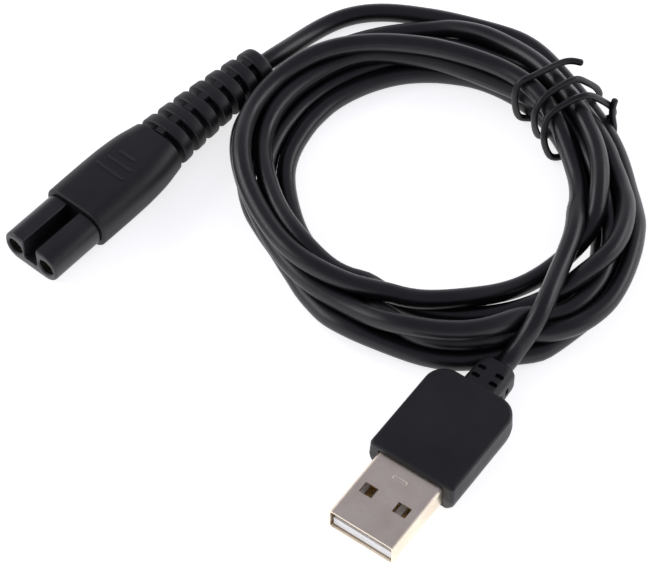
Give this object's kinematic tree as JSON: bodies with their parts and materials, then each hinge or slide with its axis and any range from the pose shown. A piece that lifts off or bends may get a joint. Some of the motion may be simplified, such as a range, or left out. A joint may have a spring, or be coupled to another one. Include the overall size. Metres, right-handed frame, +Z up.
{
  "type": "beard trimmer charging cable",
  "caption": "USB-A charging cable for a beard trimmer: flat plug with a metal shell, coiled black cord in a twist tie, and a keyed trimmer connector with a ribbed strain relief.",
  "frame": {"origin": "middle of the box round the USB plug and the trimmer connector, on the table they lie on", "axes": "+Z up from the table, +X to the right and +Y away from someone facing the two plugs, with the USB plug nearer"},
  "size_m": [0.1058, 0.1156, 0.0099],
  "materials": {
    "soft_pvc": "satin black overmoulded PVC",
    "cord_pvc": "satin black extruded PVC",
    "connector_plastic": "black, semi-gloss",
    "inner_mould": "natural polyethylene",
    "insulator": "grey insulator",
    "nickel_plate": "nickel-plated steel",
    "contact_gold": "gold-flashed brass",
    "contact_brass": "rolled brass",
    "spring_bronze": "phosphor bronze",
    "solder": "tin solder",
    "core_black": "insulated core",
    "core_red": "insulated core",
    "tie_coating": "black plastic over a wire"
  },
  "bodies": {
    "cord": {"cord_connector_end": "cord_pvc", "cord_coil": "cord_pvc", "cord_usb_end": "cord_pvc", "twist_tie": "tie_coating"},
    "trimmer_connector": {"nose_insert": "connector_plastic", "connector_housing": "soft_pvc", "connector_inner_mould": "inner_mould", "socket_sleeve_left": "contact_brass", "socket_sleeve_right": "contact_brass", "crimp_left": "contact_brass", "crimp_right": "contact_brass", "connector_core_black": "core_black", "connector_core_red": "core_red", "connector_jacket_end": "cord_pvc", "connector_boot": "soft_pvc"},
    "leaf_left": {"contact_leaf_left": "spring_bronze"},
    "leaf_right": {"contact_leaf_right": "spring_bronze"},
    "usb_plug": {"usb_cover": "soft_pvc", "usb_boot": "soft_pvc", "usb_shell": "nickel_plate", "usb_tongue": "insulator", "usb_contact_power": "contact_gold", "usb_contact_data_minus": "contact_gold", "usb_contact_data_plus": "contact_gold", "usb_contact_ground": "contact_gold", "usb_inner_mould": "inner_mould", "usb_core_black": "core_black", "usb_core_red": "core_red", "solder_joint_black": "solder", "solder_joint_red": "solder", "usb_jacket_end": "cord_pvc"}
  },
  "joints": [
    {"name": "connector_flex", "type": "hinge", "parent": "cord", "child": "trimmer_connector", "pos_m": [-0.0088, 0.03976, 0.0039], "axis": [0, 0, 1], "range_deg": [-30, 20], "stiffness_Nm_per_rad": 0.05, "deforming": ["connector_boot"]},
    {"name": "usb_flex", "type": "hinge", "parent": "cord", "child": "usb_plug", "pos_m": [0.0376, -0.01854, 0.0033], "axis": [0, 0, 1], "range_deg": [-10, 30], "stiffness_Nm_per_rad": 0.06, "deforming": ["usb_boot"]},
    {"name": "leaf_left_spring", "type": "hinge", "parent": "trimmer_connector", "child": "leaf_left", "pos_m": [-0.02987, 0.02025, 0.0033], "axis": [0.7638, -0.6455, 0], "range_deg": [0, 3.5], "stiffness_Nm_per_rad": 0.02},
    {"name": "leaf_right_spring", "type": "hinge", "parent": "trimmer_connector", "child": "leaf_right", "pos_m": [-0.02452, 0.01573, 0.0033], "axis": [0.7638, -0.6455, 0], "range_deg": [0, 3.5], "stiffness_Nm_per_rad": 0.02}
  ]
}
